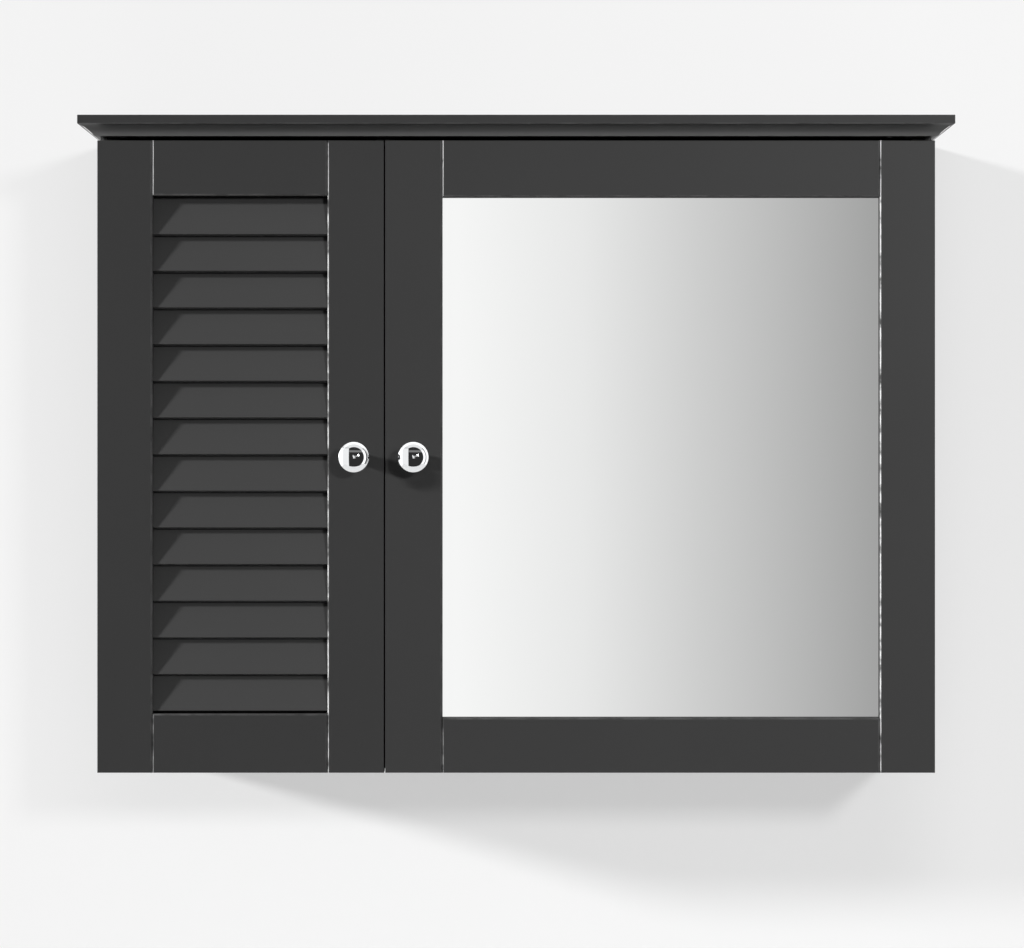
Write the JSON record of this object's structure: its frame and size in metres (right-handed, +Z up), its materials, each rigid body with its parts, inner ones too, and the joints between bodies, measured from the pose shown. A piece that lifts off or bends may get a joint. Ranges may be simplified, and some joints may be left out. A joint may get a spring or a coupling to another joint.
{
  "type": "bathroom mirror cabinet",
  "caption": "Wall-hung bathroom cabinet with a louvred door, a mirror door, round knobs, adjustable shelves and a moulded top board.",
  "frame": {"origin": "midway between the two wall-screw holes in the hanging rail, on the wall face", "axes": "+X to the right as seen from the front, +Y back into the wall, +Z up; the doors face -Y"},
  "size_m": [0.65, 0.18, 0.4885],
  "materials": {
    "painted_board": "satin anthracite lacquer on MDF",
    "zinc_steel": "bright zinc plate",
    "black_steel": "black passivated",
    "chrome": "polished",
    "nylon": "black",
    "catch_case": "moulded",
    "clear_rubber": "clear self-adhesive pads",
    "mirror": "silvered float glass",
    "hardboard": "raw"
  },
  "bodies": {
    "carcass": {"top_board": "painted_board", "left_side": "painted_board", "right_side": "painted_board", "bottom_panel": "painted_board", "divider": "painted_board", "hanging_rail": "painted_board", "back_panel": "painted_board", "left_upper_shelf": "painted_board", "left_lower_shelf": "painted_board", "right_upper_shelf": "painted_board", "right_lower_shelf": "painted_board", "shelf_pins": "zinc_steel", "cam_locks": "zinc_steel", "cam_bolts": "zinc_steel", "divider_screws": "zinc_steel", "back_panel_nails": "zinc_steel", "top_pivot_plates": "black_steel", "bottom_pivot_plates": "black_steel", "pivot_pins": "black_steel", "pivot_plate_screws": "zinc_steel", "catch_bodies": "catch_case", "catch_magnets": "zinc_steel", "catch_screws": "zinc_steel"},
    "left_door": {"left_door_hinge_stile": "painted_board", "left_door_knob_stile": "painted_board", "left_door_top_rail": "painted_board", "left_door_bottom_rail": "painted_board", "left_door_bushes": "nylon", "left_knob": "chrome", "left_knob_screw": "zinc_steel", "left_door_bumpers": "clear_rubber", "left_strike_plate": "zinc_steel", "left_strike_screws": "zinc_steel", "slat_01": "painted_board", "slat_02": "painted_board", "slat_03": "painted_board", "slat_04": "painted_board", "slat_05": "painted_board", "slat_06": "painted_board", "slat_07": "painted_board", "slat_08": "painted_board", "slat_09": "painted_board", "slat_10": "painted_board", "slat_11": "painted_board", "slat_12": "painted_board", "slat_13": "painted_board", "slat_14": "painted_board"},
    "right_door": {"right_door_hinge_stile": "painted_board", "right_door_knob_stile": "painted_board", "right_door_top_rail": "painted_board", "right_door_bottom_rail": "painted_board", "right_door_bushes": "nylon", "right_knob": "chrome", "right_knob_screw": "zinc_steel", "right_door_bumpers": "clear_rubber", "right_strike_plate": "zinc_steel", "right_strike_screws": "zinc_steel", "mirror_glass": "mirror", "mirror_backing": "hardboard", "mirror_backing_screws": "zinc_steel"}
  },
  "joints": [
    {"name": "left_door_hinge", "type": "hinge", "parent": "carcass", "child": "left_door", "pos_m": [-0.3074, -0.149, -0.2085], "axis": [0, 0, -1], "range_deg": [0, 105]},
    {"name": "right_door_hinge", "type": "hinge", "parent": "carcass", "child": "right_door", "pos_m": [0.3074, -0.149, -0.2085], "axis": [0, 0, 1], "range_deg": [0, 105]}
  ]
}
